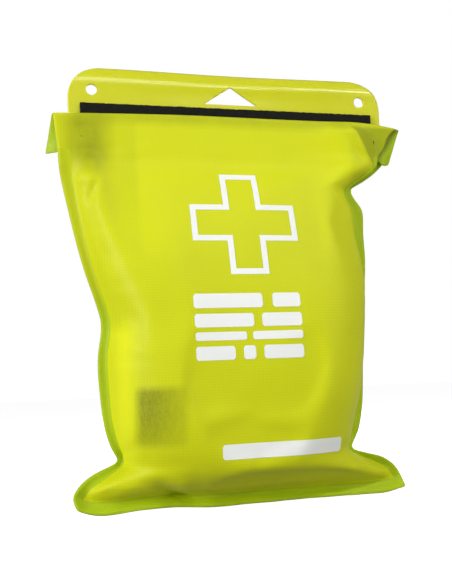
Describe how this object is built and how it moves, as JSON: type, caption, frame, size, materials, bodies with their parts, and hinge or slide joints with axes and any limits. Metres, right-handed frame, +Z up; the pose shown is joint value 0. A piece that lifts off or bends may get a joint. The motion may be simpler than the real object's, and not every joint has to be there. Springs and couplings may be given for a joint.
{
  "type": "first aid kit",
  "caption": "Waterproof welded pouch with a hang header, hook and loop mouth, outlined cross and first aid contents inside.",
  "frame": {"origin": "midway between the two hang holes, in the middle of the header sheet", "axes": "+Z up along the pouch, +X to the right seen from the front, the printed front faces -Y"},
  "size_m": [0.19, 0.0495, 0.2225],
  "materials": {
    "film_fabric": "glossy",
    "pouch_fabric": "satin",
    "weld_border": "satin",
    "hook_pile": "matt",
    "loop_pile": "matt",
    "print_ink": "matt",
    "printed_paper": "matt",
    "cotton_cloth": "matt",
    "clear_film": "gloss",
    "gold_foil": "gloss",
    "dressing_wrap": "matt",
    "sachet_foil": "satin",
    "plaster_wrap": "matt",
    "elastic_weave": "matt",
    "steel": "brushed",
    "tape_cloth": "matt",
    "card_core": "matt"
  },
  "bodies": {
    "pouch": {"header": "film_fabric", "hook_strip": "hook_pile", "back_panel": "pouch_fabric", "front_panel": "pouch_fabric", "weld_flange": "weld_border", "cross_print": "print_ink", "print_bars": "print_ink", "leaflet": "printed_paper", "triangular_bandage": "cotton_cloth", "glove_pack": "clear_film", "rescue_blanket": "gold_foil", "large_dressing": "dressing_wrap", "medium_dressing": "dressing_wrap", "gauze_compresses": "dressing_wrap", "antiseptic_wipes": "sachet_foil", "plaster_pack": "plaster_wrap", "elastic_bandage": "elastic_weave", "bandage_clips": "steel", "gauze_bandage": "cotton_cloth", "tape_roll": "tape_cloth", "tape_core": "card_core", "scissor_blade_a": "steel", "scissor_pivot": "steel", "tweezer_arm_a": "steel", "safety_pins": "steel"},
    "lip": {"front_lip": "pouch_fabric", "lip_hem": "pouch_fabric", "loop_strip": "loop_pile"},
    "scissor_half": {"scissor_blade_b": "steel"},
    "tweezer_arm": {"tweezer_arm_b": "steel"}
  },
  "joints": [
    {"name": "mouth_open", "type": "hinge", "parent": "pouch", "child": "lip", "pos_m": [0, -0.006, -0.0335], "axis": [1, 0, 0], "range_deg": [0, 100]},
    {"name": "scissors_open", "type": "hinge", "parent": "pouch", "child": "scissor_half", "pos_m": [-0.014, -0.006, -0.097], "axis": [0, 1, 0], "range_deg": [0, 30]},
    {"name": "tweezers_squeeze", "type": "hinge", "parent": "pouch", "child": "tweezer_arm", "pos_m": [0.033, -0.0054, -0.072], "axis": [0, 1, 0], "range_deg": [0, 4], "stiffness_Nm_per_rad": 0.05}
  ]
}
